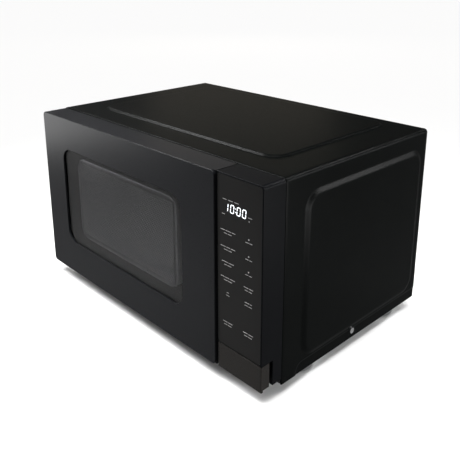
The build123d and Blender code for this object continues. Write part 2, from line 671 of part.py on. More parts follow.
def lamp_bulb():
    """Small bulb inside the lamp holder."""
    x0 = CAV_RIGHT + SHEET
    glass = Pos(x0 + 13, -14, 226) * Sphere(8.5)
    return glass + rod("x", (x0 + 18, -14, 226), 12.9, 6)


def thermal_cutouts():
    """Disc thermostats on the cavity wall and on the magnetron."""
    x0 = CAV_RIGHT + SHEET
    wall = rod("x", (x0, -70, 200), 6, 8) + block(x0, x0 + 1, -82, -58, 196, 204)
    tube_top = MAG_Z + 30
    top = rod("z", (165, MAG_Y, tube_top), 6, 8) + block(153, 177, MAG_Y - 4, MAG_Y + 4, tube_top,
                                                         tube_top + 1)
    return group([wall, top])


def filter_board():
    """Mains filter board with its coil, capacitor and fuse, on the shroud's shelf."""
    board = block(108, 172, 76, 104, 226.0, 227.6)
    for x in (112, 168):
        board += rod("z", (x, 90, 224), 2.2, 2.5)
    board += tube("z", (124, 90, 227.5), 10, 9, 4)
    board += block(138, 156, 82, 98, 227.5, 240)
    return board + rod("y", (163, 79, 231), 22, 2.6) + block(161, 165, 80, 100, 227.5, 229)


# ---------------------------------------------------------------- turntable
def turntable_motor():
    """Flat synchronous motor under the cavity floor."""
    can = rod("z", (TABLE_X, TABLE_Y, 19.2), CAV_FLOOR - SHEET - 19.2, 24.5)
    can += block(TABLE_X - 33, TABLE_X + 33, TABLE_Y - 6, TABLE_Y + 6, 34.0, CAV_FLOOR - SHEET)
    can += block(TABLE_X - 10, TABLE_X + 10, TABLE_Y - 31, TABLE_Y - 20, 22, 32)
    return can - rod("z", (TABLE_X, TABLE_Y, 28), 10, 3.1)


def drive_shaft():
    """Output shaft of the turntable motor."""
    return rod("z", (TABLE_X, TABLE_Y, 29), 9.0, 3.0)


def drive_coupler():
    """Three-winged coupler that turns the tray."""
    hub = rod("z", (TABLE_X, TABLE_Y, 38), 12.8, 8)
    for index in range(3):
        wing = block(6, 16, -2.5, 2.5, 42, 50.8)
        hub += Pos(TABLE_X, TABLE_Y, 0) * Rotation(0, 0, 120 * index) * wing
    return hub


def glass_tray():
    """Round glass tray with a raised rim and three lugs below."""
    z = TRAY_Z
    outline = [(0, z), (100, z), (110, z + 2.4), (117, z + 6.2), (122.5, z + 13),
               (TRAY_R, z + 15), (120.5, z + 15.5), (114, z + 9.5), (108, z + 6.8),
               (99, z + 5), (0, z + 5)]
    profile = make_face(Polyline(*[(r, 0, h) for r, h in outline], close=True))
    tray = revolve(profile, Axis.Z)
    for index in range(3):
        lug = Rotation(0, 0, 120 * index + 60) * Pos(11.8, 0, z - 5) * Cylinder(
            2.6, 5.2, align=(Align.CENTER, Align.CENTER, Align.MIN))
        tray += lug
    return Pos(TABLE_X, TABLE_Y, 0) * tray


def ring_frame():
    """Roller ring: two hoops, three spokes and the axle pins."""
    z0 = ROLLER_Z - 3
    ring = tube("z", (0, 0, z0), 6, 24, 19.5) + tube("z", (0, 0, z0), 6, 80, 75)
    for index in range(3):
        turn = Rotation(0, 0, 120 * index + 30)
        ring += turn * block(22, 76, -3, 3, z0, z0 + 6)
        ring += turn * rod("x", (79, 0, ROLLER_Z), 15, 1.9)
        ring += turn * rod("x", (92.4, 0, ROLLER_Z), 1.6, 3.2)
    return Pos(TABLE_X, TABLE_Y, 0) * ring


def roller(index):
    """Roller on one of the ring's axle pins."""
    wheel = tube("x", (84, 0, ROLLER_Z), 8, ROLLER_R, 1.9 + RUNNING)
    return Pos(TABLE_X, TABLE_Y, 0) * Rotation(0, 0, 120 * index + 30) * wheel


# ---------------------------------------------------------------- output
PIECES = {
    "oven_cavity": oven_cavity,
    "front_plate": front_plate,
    "base_plate": base_plate,
    "foot_pads": foot_pads,
    "rear_panel": rear_panel,
    "outer_cover": outer_cover,
    "cover_screws": cover_screws,
    "cord_gland": cord_gland,
    "hinge_lower": lambda: hinge(26, 28, 7.2),
    "hinge_upper": lambda: hinge(252, 244.8, 7.2),
    "interlock_bracket": interlock_bracket,
    "microswitches": microswitches,
    "switch_plungers": switch_plungers,
    "door_frame": door_frame,
    "door_lens": door_lens,
    "door_screen": door_screen,
    "door_liner": door_liner,
    "door_inner_film": door_inner_film,
    "latch_key": latch_key,
    "latch_spring": latch_spring,
    "escutcheon": escutcheon,
    "keypad_overlay": keypad_overlay,
    "release_button": release_button,
    "button_spring": button_spring,
    "release_lifter": release_lifter,
    "display_module": display_module,
    "control_board": control_board,
    "board_components": board_components,
    "waveguide": waveguide,
    "waveguide_cover": waveguide_cover,
    "magnetron_body": magnetron_body,
    "magnetron_fins": magnetron_fins,
    "magnetron_antenna": magnetron_antenna,
    "filter_box": filter_box,
    "hv_transformer_core": hv_transformer_core,
    "hv_transformer_windings": hv_transformer_windings,
    "hv_capacitor": hv_capacitor,
    "capacitor_clamp": capacitor_clamp,
    "hv_diode": hv_diode,
    "fan_shroud": fan_shroud,
    "fan_motor": fan_motor,
    "fan_blade": fan_blade,
    "fan_shaft": fan_shaft,
    "air_duct": air_duct,
    "lamp_holder": lamp_holder,
    "lamp_bulb": lamp_bulb,
    "thermal_cutouts": thermal_cutouts,
    "filter_board": filter_board,
    "turntable_motor": turntable_motor,
    "drive_shaft": drive_shaft,
    "drive_coupler": drive_coupler,
    "glass_tray": glass_tray,
    "ring_frame": ring_frame,
    "roller_1": lambda: roller(0),
    "roller_2": lambda: roller(1),
    "roller_3": lambda: roller(2),
}

os.makedirs("parts", exist_ok=True)
for name, make in PIECES.items():
    export_step(make(), f"parts/{name}.step")
    print(name)
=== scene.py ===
"""Looks of the microwave oven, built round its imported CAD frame. Metres, +Z up, the door faces -Y."""

import math

import bpy
from mathutils import Euler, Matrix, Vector


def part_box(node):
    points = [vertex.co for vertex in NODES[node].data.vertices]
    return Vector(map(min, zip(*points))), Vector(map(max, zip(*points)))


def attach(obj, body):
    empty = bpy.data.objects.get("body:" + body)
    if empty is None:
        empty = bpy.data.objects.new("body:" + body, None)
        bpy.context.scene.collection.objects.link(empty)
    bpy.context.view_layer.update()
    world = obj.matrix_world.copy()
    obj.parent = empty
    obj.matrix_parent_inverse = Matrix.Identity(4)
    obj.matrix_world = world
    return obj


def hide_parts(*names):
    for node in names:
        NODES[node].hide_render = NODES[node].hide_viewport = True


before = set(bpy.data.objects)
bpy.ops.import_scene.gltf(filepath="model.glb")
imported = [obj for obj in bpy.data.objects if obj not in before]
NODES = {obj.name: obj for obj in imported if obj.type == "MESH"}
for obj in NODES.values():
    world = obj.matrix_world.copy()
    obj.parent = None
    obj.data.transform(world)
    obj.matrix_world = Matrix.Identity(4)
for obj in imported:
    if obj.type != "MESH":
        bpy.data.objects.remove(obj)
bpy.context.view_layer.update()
MM = 0.001


# ---------------------------------------------------------------- camera, floor and light
CAMERA_PLACE = (0.608, -0.571, 0.471)
CAMERA_HEADING = 46.26    # degrees from +Y towards -X
CAMERA_PITCH = -16.17     # degrees, negative looks down
CAMERA_LENS = 48.9        # millimetres, as is the sensor's width
CAMERA_SENSOR = 36.0
CAMERA_SHIFT = -0.196     # in picture widths, negative moves the frame down

FLOOR_HALF = 40.0
FLOOR_TONE = 0.86         # as the camera sees it
FLOOR_BOUNCE = 0.18       # as the oven sees it
BACKDROP = (1, 1, 1)
FILL = (0.058, 0.056, 0.054)
OVERHEAD_STRENGTH = 3.4
OVERHEAD_SPREAD = 40      # degrees
OVERHEAD_TILT = (8, 6, 0)
WHITE = (1, 1, 1)
WARM = (1.0, 0.9, 0.74)
OPEN = 180                # beam angle of a softbox without a grid, in degrees

# name, place, target, size, power in watts, colour, beam angle
SOFTBOXES = (
    ("low_left", (-0.78, -0.62, 0.26), (0, -0.45, 0.2), (0.6, 0.5), 4.2, WHITE, OPEN),
    ("front_wash", (-0.05, -0.5, 0.7), (0, -0.38, 0), (0.4, 0.3), 3.0, WHITE, 90),
    ("high_left", (-1.5, 0.35, 1.7), (0, -0.05, 0.26), (0.5, 0.6), 0.8, WHITE, 30),
    ("back_left", (-2.2, 2.2, 0.95), (0, 0, 0.2), (1.2, 0.5), 0.9, WARM, OPEN),
    ("back_right", (1.9, 1.7, 0.55), (0.2, 0, 0.15), (0.7, 0.35), 2.7, WHITE, 60),
    ("back_high", (0.7, 1.5, 1.7), (0.2, 0, 0.2), (0.3, 0.3), 0.9, WHITE, 40),
    ("right_card", (0.68, 0.05, 0.08), (0.22, 0, 0.08), (0.3, 0.16), 1.9, WHITE, OPEN),
)


def make_camera():
    """Camera that looks at the panel's corner of the oven, a little from above."""
    data = bpy.data.cameras.new("camera")
    data.lens = CAMERA_LENS
    data.sensor_width = CAMERA_SENSOR
    data.shift_y = CAMERA_SHIFT
    data.clip_start = 0.01
    camera = bpy.data.objects.new("camera", data)
    camera.location = CAMERA_PLACE
    camera.rotation_euler = (math.radians(90 + CAMERA_PITCH), 0, math.radians(CAMERA_HEADING))
    bpy.context.scene.collection.objects.link(camera)
    bpy.context.scene.camera = camera


def make_softbox(name, place, target, size, power, colour, beam):
    """Rectangular area light that points at target."""
    data = bpy.data.lights.new(name, "AREA")
    data.shape = "RECTANGLE"
    data.size, data.size_y = size
    data.energy = power
    data.color = colour
    data.spread = math.radians(beam)
    light = bpy.data.objects.new(name, data)
    light.location = place
    towards = Vector(target) - Vector(place)
    light.rotation_euler = towards.to_track_quat("-Z", "Y").to_euler()
    light.visible_camera = False
    bpy.context.scene.collection.objects.link(light)


def make_overhead():
    """Wide soft light from nearly straight above, even over the whole floor."""
    data = bpy.data.lights.new("overhead", "SUN")
    data.energy = OVERHEAD_STRENGTH
    data.angle = math.radians(OVERHEAD_SPREAD)
    light = bpy.data.objects.new("overhead", data)
    light.rotation_euler = Euler([math.radians(angle) for angle in OVERHEAD_TILT])
    bpy.context.scene.collection.objects.link(light)


def make_world():
    """Pale backdrop for the camera, dim fill for everything that reflects it."""
    world = bpy.data.worlds.new("studio")
    world.use_nodes = True
    nodes, links = world.node_tree.nodes, world.node_tree.links
    nodes.clear()
    path = nodes.new("ShaderNodeLightPath")
    seen = nodes.new("ShaderNodeBackground")
    seen.inputs["Color"].default_value = (*BACKDROP, 1)
    light = nodes.new("ShaderNodeBackground")
    light.inputs["Color"].default_value = (*FILL, 1)
    mix = nodes.new("ShaderNodeMixShader")
    out = nodes.new("ShaderNodeOutputWorld")
    links.new(path.outputs["Is Camera Ray"], mix.inputs["Fac"])
    links.new(light.outputs[0], mix.inputs[1])
    links.new(seen.outputs[0], mix.inputs[2])
    links.new(mix.outputs[0], out.inputs["Surface"])
    bpy.context.scene.world = world


def floor_paper():
    """White paper that gives little light back, so that the black oven stays black."""
    material = bpy.data.materials.new("floor_paper")
    material.use_nodes = True
    tree = material.node_tree
    tree.nodes.clear()
    path = tree.nodes.new("ShaderNodeLightPath")
    mix = tree.nodes.new("ShaderNodeMixShader")
    out = tree.nodes.new("ShaderNodeOutputMaterial")
    tree.links.new(path.outputs["Is Camera Ray"], mix.inputs["Fac"])
    for socket, tone in ((1, FLOOR_BOUNCE), (2, FLOOR_TONE)):
        paper = tree.nodes.new("ShaderNodeBsdfDiffuse")
        paper.inputs["Color"].default_value = (tone, tone, tone, 1)
        tree.links.new(paper.outputs[0], mix.inputs[socket])
    tree.links.new(mix.outputs[0], out.inputs["Surface"])
    return material


def make_studio():
    """Plain pale floor, soft lights and an untinted picture."""
    scene = bpy.context.scene
    scene.view_settings.view_transform = "Standard"
    scene.view_settings.look = "None"
    half = FLOOR_HALF
    mesh = bpy.data.meshes.new("floor")
    corners = [(-half, -half, 0), (half, -half, 0), (half, half, 0), (-half, half, 0)]
    mesh.from_pydata(corners, [], [(0, 1, 2, 3)])
    floor = bpy.data.objects.new("floor", mesh)
    scene.collection.objects.link(floor)
    floor.data.materials.append(floor_paper())
    make_world()
    make_overhead()
    for softbox in SOFTBOXES:
        make_softbox(*softbox)


# ---------------------------------------------------------------- materials
def node_at(tree, kind, **inputs):
    """New shader node with some inputs set."""
    made = tree.nodes.new(kind)
    for name, value in inputs.items():
        made.inputs[name.replace("_", " ")].default_value = value
    return made


def object_space(tree, stretch=(1, 1, 1)):
    """Coordinates of the row frame in metres, stretched per axis."""
    place = tree.nodes.new("ShaderNodeTexCoord")
    mapping = tree.nodes.new("ShaderNodeMapping")
    mapping.inputs["Scale"].default_value = stretch
    tree.links.new(place.outputs["Object"], mapping.inputs["Vector"])
    return mapping.outputs["Vector"]


def noise(tree, vector, scale, detail=3.0):
    """Noise value at the given scale, in features per metre."""
    made = node_at(tree, "ShaderNodeTexNoise", Scale=scale, Detail=detail)
    tree.links.new(vector, made.inputs["Vector"])
    return made.outputs["Fac"]


def spread(tree, value, low, high, centre=0.5, width=0.3):
    """Map the middle of a noise's range to low..high."""
    made = tree.nodes.new("ShaderNodeMapRange")
    made.inputs["From Min"].default_value = centre - width
    made.inputs["From Max"].default_value = centre + width
    made.inputs["To Min"].default_value = low
    made.inputs["To Max"].default_value = high
    tree.links.new(value, made.inputs["Value"])
    return made.outputs["Result"]


def blend_colours(tree, factor, first, second):
    """Colour between first and second."""
    mix = tree.nodes.new("ShaderNodeMix")
    mix.data_type = "RGBA"
    mix.inputs[6].default_value = (*first, 1)
    mix.inputs[7].default_value = (*second, 1)
    tree.links.new(factor, mix.inputs[0])
    return mix.outputs[2]


def add_bump(tree, shader, height, strength, distance):
    """Bump from a height value, distance in metres."""
    bump = node_at(tree, "ShaderNodeBump", Strength=strength, Distance=distance)
    tree.links.new(height, bump.inputs["Height"])
    tree.links.new(bump.outputs["Normal"], shader.inputs["Normal"])


def plain(name, colour, roughness, metallic=0.0, specular=0.5, transmission=0.0, ior=1.5,
          mottle=0.06, mottle_scale=14.0, wear=0.05, grain=700.0, relief=0.0, stretch=(1, 1, 1)):
    """Moulded, painted or metal surface, a little uneven.

    mottle and wear are how far its tone and its roughness stray, mottle_scale and grain how many
    such patches fit in a metre, and relief the height of the grain in metres.
    """
    material = bpy.data.materials.new(name)
    material.use_nodes = True
    tree = material.node_tree
    shader = tree.nodes["Principled BSDF"]
    shader.inputs["Metallic"].default_value = metallic
    shader.inputs["Specular IOR Level"].default_value = specular
    shader.inputs["Transmission Weight"].default_value = transmission
    shader.inputs["IOR"].default_value = ior
    space = object_space(tree, stretch)
    broad = spread(tree, noise(tree, space, mottle_scale), 0, 1)
    darker = tuple(c * (1 - mottle) for c in colour)
    lighter = tuple(min(1.0, c * (1 + mottle)) for c in colour)
    tree.links.new(blend_colours(tree, broad, darker, lighter), shader.inputs["Base Color"])
    fine = noise(tree, space, grain, 2.0)
    gloss = spread(tree, fine, max(0.02, roughness - wear), min(1.0, roughness + wear))
    tree.links.new(gloss, shader.inputs["Roughness"])
    if relief:
        add_bump(tree, shader, fine, 0.5, relief)
    return material


def powder_coat(name, colour, roughness, specular):
    """Fine textured powder coat on sheet steel."""
    return plain(name, colour, roughness, specular=specular, mottle=0.12, mottle_scale=30,
                 wear=0.06, grain=900, relief=0.00010)


def galvanised(name, colour, roughness=0.38):
    """Zinc with faint spangle."""
    material = plain(name, colour, roughness, metallic=1.0, mottle=0.05, grain=300)
    tree = material.node_tree
    shader = tree.nodes["Principled BSDF"]
    cells = node_at(tree, "ShaderNodeTexVoronoi", Scale=160.0)
    tree.links.new(object_space(tree), cells.inputs["Vector"])
    split = tree.nodes.new("ShaderNodeSeparateColor")
    tree.links.new(cells.outputs["Color"], split.inputs["Color"])
    tone = spread(tree, split.outputs["Red"], 0, 1, 0.5, 0.5)
    dark = tuple(c * 0.86 for c in colour)
    tree.links.new(blend_colours(tree, tone, dark, colour), shader.inputs["Base Color"])
    return material


WAVES_PER_UNIT = 3.3      # bands the wave texture makes in one unit at scale 1, about


def banded(name, first, second, axis, pitch, roughness, metallic, depth):
    """Stacked sheets or wound wire: fine ridges along one axis, pitch and depth in metres."""
    material = bpy.data.materials.new(name)
    material.use_nodes = True
    tree = material.node_tree
    shader = tree.nodes["Principled BSDF"]
    shader.inputs["Metallic"].default_value = metallic
    space = object_space(tree)
    scale = 1 / pitch / WAVES_PER_UNIT
    wave = node_at(tree, "ShaderNodeTexWave", Scale=scale, Distortion=0.15)
    wave.bands_direction = axis
    tree.links.new(space, wave.inputs["Vector"])
    tree.links.new(blend_colours(tree, wave.outputs["Fac"], first, second), shader.inputs["Base Color"])
    rough = spread(tree, noise(tree, space, 200), roughness - 0.08, roughness + 0.08)
    tree.links.new(rough, shader.inputs["Roughness"])
    add_bump(tree, shader, wave.outputs["Fac"], 0.8, depth)
    return material


def speckled(name, colour, specks, roughness):
    """Sprayed enamel with fine darker specks."""
    material = plain(name, colour, roughness, mottle=0.04, grain=500, relief=0.00006)
    tree = material.node_tree
    shader = tree.nodes["Principled BSDF"]
    cells = node_at(tree, "ShaderNodeTexVoronoi", Scale=420.0)
    tree.links.new(object_space(tree), cells.inputs["Vector"])
    dots = spread(tree, cells.outputs["Distance"], 1, 0, 0.16, 0.05)
    tree.links.new(blend_colours(tree, dots, colour, specks), shader.inputs["Base Color"])
    return material


def clear(name, colour, roughness, ior, mottle=0.03):
    """Glass or clear film."""
    return plain(name, colour, roughness, transmission=1.0, ior=ior, mottle=mottle, wear=0.01)


def glowing(name, colour, strength):
    """Lit segments of the display, a little uneven in brightness."""
    material = plain(name, (0.6, 0.62, 0.64), 0.4)
    tree = material.node_tree
    shader = tree.nodes["Principled BSDF"]
    shader.inputs["Emission Strength"].default_value = strength
    tone = spread(tree, noise(tree, object_space(tree), 350), 0, 1)
    dim = tuple(c * 0.94 for c in colour)
    tree.links.new(blend_colours(tree, tone, dim, colour), shader.inputs["Emission Color"])
    return material


def make_materials():
    """One finish for each kind of part, by name."""
    return {
        "cover": powder_coat("black_powder_coat", (0.0019, 0.0023, 0.0022), 0.34, 0.036),
        "door": plain("black_door_plastic", (0.0078, 0.0082, 0.0094), 0.30, specular=0.11,
                      mottle=0.04, wear=0.04, grain=1100, relief=0.00003),
        "bezel": plain("black_bezel_plastic", (0.0030, 0.0033, 0.0040), 0.38, specular=0.04,
                       mottle=0.06, grain=1000, relief=0.00006),
        "button": plain("black_button_plastic", (0.0125, 0.0112, 0.0100), 0.30, specular=0.16,
                        mottle=0.06, grain=1000, relief=0.00006),
        "overlay": plain("key_membrane_film", (0.0075, 0.0073, 0.0071), 0.34, specular=0.13,
                         mottle=0.05, mottle_scale=40, grain=1400, relief=0.00003),
        "lens": clear("smoked_glass", (0.50, 0.50, 0.505), 0.03, 1.29),
        "screen": plain("black_screen_paint", (0.008, 0.008, 0.0084), 0.5, specular=0.06),
        "screen_field": plain("screen_perforated_steel", (0.30, 0.30, 0.308), 0.30, metallic=0.9,
                              mottle=0.05, grain=900),
        # pressed wall of the door screen: the field's own steel made lighter, a painted highlight on
        # the wall
        "screen_wall_painted_highlight": plain("screen_rim_steel_painted_highlight", (0.36, 0.36, 0.37), 0.38, metallic=0.85,
                            mottle=0.05, grain=900),
        "film": clear("clear_film", (0.9, 0.9, 0.9), 0.08, 1.2),
        "liner": plain("liner_plastic", (0.02, 0.02, 0.021), 0.5, specular=0.35, relief=0.00005),
        "plate": plain("front_plate_paint", (0.03, 0.03, 0.031), 0.38, specular=0.4,
                       grain=800, relief=0.00004),
        "enamel": speckled("cavity_enamel", (0.42, 0.43, 0.42), (0.16, 0.165, 0.16), 0.34),
        "zinc": galvanised("galvanised_sheet", (0.62, 0.64, 0.65)),
        "plated": plain("plated_steel", (0.62, 0.62, 0.60), 0.30, metallic=1.0, mottle=0.05,
                        grain=500),
        "screw": plain("screw_zinc", (0.80, 0.81, 0.82), 0.24, metallic=1.0, mottle=0.03),
        "spring": plain("spring_wire", (0.50, 0.50, 0.51), 0.28, metallic=1.0),
        "shaft": plain("ground_steel", (0.55, 0.55, 0.56), 0.22, metallic=1.0,
                       stretch=(1, 1, 30), grain=300),
        "rubber": plain("foot_rubber", (0.02, 0.02, 0.02), 0.8, specular=0.2, grain=500,
                        relief=0.0001),
        "gland": plain("gland_nylon", (0.018, 0.018, 0.018), 0.5, specular=0.3, relief=0.00005),
        "white": plain("white_moulding", (0.72, 0.72, 0.69), 0.45, mottle=0.03, relief=0.00004),
        "switch": plain("switch_case", (0.05, 0.05, 0.052), 0.42, specular=0.4),
        "plunger": plain("red_plunger", (0.55, 0.04, 0.03), 0.35),
        "display": plain("display_glass", (0.01, 0.01, 0.011), 0.12, specular=0.5, mottle=0.1),
        "board": plain("phenolic_board", (0.42, 0.27, 0.09), 0.5, mottle=0.14, mottle_scale=60),
        "component": plain("component_mouldings", (0.035, 0.036, 0.045), 0.4, mottle=0.2,
                           mottle_scale=50),
        "mica": plain("mica_sheet", (0.58, 0.50, 0.34), 0.42, mottle=0.22, mottle_scale=90,
                      grain=350),
        "fin": plain("fin_aluminium", (0.80, 0.81, 0.82), 0.33, metallic=1.0, stretch=(1, 1, 12)),
        "antenna": plain("antenna_cap", (0.72, 0.56, 0.30), 0.25, metallic=1.0),
        "core": banded("core_laminations", (0.10, 0.09, 0.085), (0.20, 0.19, 0.18), "X",
                       0.0010, 0.5, 0.7, 0.0002),
        "coil": banded("enamelled_winding", (0.36, 0.12, 0.04), (0.66, 0.30, 0.12), "Z",
                       0.0012, 0.35, 0.9, 0.0004),
        "can": plain("capacitor_can", (0.74, 0.75, 0.76), 0.32, metallic=1.0, stretch=(1, 1, 0.1)),
        "diode": plain("diode_moulding", (0.02, 0.02, 0.021), 0.3),
        "motor": plain("motor_steel", (0.46, 0.46, 0.47), 0.36, metallic=1.0, mottle=0.08),
        "fan": plain("fan_moulding", (0.16, 0.18, 0.20), 0.5, relief=0.00005),
        "duct": plain("duct_moulding", (0.13, 0.13, 0.135), 0.5, relief=0.00005),
        "bulb": clear("bulb_glass", (0.97, 0.95, 0.88), 0.02, 1.45),
        "tray": clear("tray_glass", (0.93, 0.97, 0.96), 0.02, 1.5),
        "roller": plain("roller_moulding", (0.70, 0.70, 0.67), 0.45, mottle=0.04),
        "ink": plain("key_print", (0.34, 0.34, 0.34), 0.5, specular=0.2),
        "digits": glowing("display_segments", (0.93, 0.97, 1.0), 1.6),
    }


FINISH_OF_NODE = {
    "oven_cavity": "enamel", "front_plate": "plate", "base_plate": "zinc",
    "foot_pads": "rubber", "rear_panel": "zinc", "outer_cover": "cover",
    "cover_screws": "screw", "cord_gland": "gland", "hinge_lower": "plated",
    "hinge_upper": "plated", "interlock_bracket": "white", "microswitches": "switch",
    "switch_plungers": "plunger", "door_frame": "door", "door_lens": "lens",
    "door_screen": "screen", "door_liner": "liner", "door_inner_film": "film",
    "latch_key": "white", "latch_spring": "spring", "escutcheon": "bezel",
    "keypad_overlay": "overlay", "release_button": "button", "button_spring": "spring",
    "release_lifter": "white", "display_module": "display", "control_board": "board",
    "board_components": "component", "waveguide": "plated", "waveguide_cover": "mica",
    "magnetron_body": "plated", "magnetron_fins": "fin", "magnetron_antenna": "antenna",
    "filter_box": "plated", "hv_transformer_core": "core", "hv_transformer_windings": "coil",
    "hv_capacitor": "can", "capacitor_clamp": "plated", "hv_diode": "diode",
    "fan_shroud": "duct", "fan_motor": "motor", "fan_blade": "fan", "fan_shaft": "shaft",
    "air_duct": "duct", "lamp_holder": "plated", "lamp_bulb": "bulb",
    "thermal_cutouts": "switch", "filter_board": "board", "turntable_motor": "motor",
    "drive_shaft": "white", "drive_coupler": "roller", "glass_tray": "tray",
    "ring_frame": "roller", "roller_1": "roller", "roller_2": "roller", "roller_3": "roller",
}


def finish_nodes(finishes):
    """Give every CAD node its finish."""
    for name, node in NODES.items():
        node.data.materials.clear()
        node.data.materials.append(finishes[FINISH_OF_NODE[name]])


# ---------------------------------------------------------------- mesh helpers
def new_piece(name, points, faces, material, body, smooth=True):
    """Mesh object in the row frame that rides on a body."""
    mesh = bpy.data.meshes.new(name)
    mesh.from_pydata(points, [], faces)
    mesh.validate()
    mesh.materials.append(material)
    piece = bpy.data.objects.new(name, mesh)
    bpy.context.scene.collection.objects.link(piece)
    for face in mesh.polygons:
        face.use_smooth = smooth
    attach(piece, body)
    return piece


def apply_modifiers(piece):
    """Turn a piece's modifiers into its mesh."""
    graph = bpy.context.evaluated_depsgraph_get()
    made = bpy.data.meshes.new_from_object(piece.evaluated_get(graph))
    piece.modifiers.clear()
    piece.data = made


def thicken(piece, thickness, offset):
    """Give a sheet its thickness, offset -1 keeps the outer face."""
    solidify = piece.modifiers.new("thickness", "SOLIDIFY")
    solidify.thickness = thickness
    solidify.offset = offset
    solidify.use_even_offset = True


def steps(start, stop, largest):
    """Even places from start up to, but not at, stop."""
    count = max(1, math.ceil((stop - start) / largest - 1e-6))
    return [start + (stop - start) * index / count for index in range(count)]


def soft_step(t, ease=0.3):
    """0 to 1 with a straight middle and rounded ends."""
    t = min(1.0, max(0.0, t))
    if t < ease:
        return t * t / (2 * ease * (1 - ease))
    if t > 1 - ease:
        return 1 - (1 - t) ** 2 / (2 * ease * (1 - ease))
    return (t - ease / 2) / (1 - ease)


def inside_distance(u, v, low, high, radius):
    """How far a point is inside a rounded rectangle, negative outside."""
    half = ((high[0] - low[0]) / 2, (high[1] - low[1]) / 2)
    du = abs(u - (low[0] + high[0]) / 2) - half[0] + radius
    dv = abs(v - (low[1] + high[1]) / 2) - half[1] + radius
    outside = math.hypot(max(du, 0), max(dv, 0))
    return radius - outside - min(max(du, dv), 0)


# ---------------------------------------------------------------- cabinet skin
SHEET = 0.6 * MM
FOLD_R = 4.0 * MM
SIDE_RAISE = 2.5 * MM
TOP_RAISE = 2.0 * MM
SIDE_FIELD = ((-0.090, 0.030), (0.147, 0.237))      # (Y, Z) corners of the pressed field's foot
SIDE_SLOPE = 9.0 * MM
TOP_FIELD = ((-0.180, -0.084), (0.172, 0.141))      # (X, Y)
TOP_SLOPE = 4.5 * MM
FIELD_R = 24.0 * MM
STRIP_FRONT, STRIP_TOP = -0.097, 0.0300             # pressed strip along the lower edge
STRIP_DEPTH = 0.7 * MM
STRIP_SLOPE = 2.4 * MM
STRIP_R = 12.0 * MM
DIMPLE = (0.004, 0.032)                             # (Y, Z)
DIMPLE_R = 2.6 * MM
DIMPLE_DEPTH = 0.8 * MM
HEM = 1.1 * MM                                      # rolled front edge of the cover
REAR_EDGE = 0.2 * MM                                # last row of faces, keeps the rear edge crisp
FOLD_STEPS = 8


def side_relief(y, z):
    """Height of the side wall's pressing over its flat."""
    depth = inside_distance(y, z, *SIDE_FIELD, FIELD_R)
    height = SIDE_RAISE * soft_step(depth / SIDE_SLOPE)
    low, high = (STRIP_FRONT, -0.2), (0.4, STRIP_TOP)
    into = inside_distance(y, z, low, high, STRIP_R)
    height -= STRIP_DEPTH * soft_step(into / STRIP_SLOPE)
    reach = math.hypot(y - DIMPLE[0], z - DIMPLE[1])
    return height - DIMPLE_DEPTH * soft_step(1 - reach / DIMPLE_R, 0.45)


def top_relief(x, y):
    """Height of the top's pressing over its flat."""
    depth = inside_distance(x, y, *TOP_FIELD, FIELD_R)
    return TOP_RAISE * soft_step(depth / TOP_SLOPE)


def skin_stations(side, bottom, top):
    """Cross-section of the cover: (X, Z, normal X, normal Z, name of that wall).

    The points lie close together where the relief turns and far apart where it is flat.
    """
    low, high = SIDE_FIELD[0][1], SIDE_FIELD[1][1]
    heights = steps(bottom, low, 0.9 * MM) + steps(low, low + FIELD_R, 1.0 * MM)
    heights += steps(low + FIELD_R, high - FIELD_R, 12 * MM)
    heights += steps(high - FIELD_R, high, 1.0 * MM) + steps(high, top - FOLD_R, 4 * MM)
    wall = [(side, z, 1.0, 0.0, "side") for z in heights]
    fold = []
    for index in range(FOLD_STEPS + 1):
        angle = math.pi / 2 * index / FOLD_STEPS
        x = side - FOLD_R + FOLD_R * math.cos(angle)
        z = top - FOLD_R + FOLD_R * math.sin(angle)
        fold.append((x, z, math.cos(angle), math.sin(angle), "fold"))
    right = wall + fold
    left_x, right_x = TOP_FIELD[0][0], TOP_FIELD[1][0]
    across = []
    spans = [(-side + FOLD_R, left_x, 4 * MM), (left_x, left_x + FIELD_R, 1.0 * MM),
             (left_x + FIELD_R, right_x - FIELD_R, 14 * MM),
             (right_x - FIELD_R, right_x, 1.0 * MM), (right_x, side - FOLD_R, 4 * MM)]
    for start, stop, largest in spans:
        across += steps(start, stop, largest)
    roof = [(x, top, 0.0, 1.0, "top") for x in across[1:]]
    left = [(-x, z, -nx, nz, wall_name) for x, z, nx, nz, wall_name in right]
    return left + roof + right[::-1]


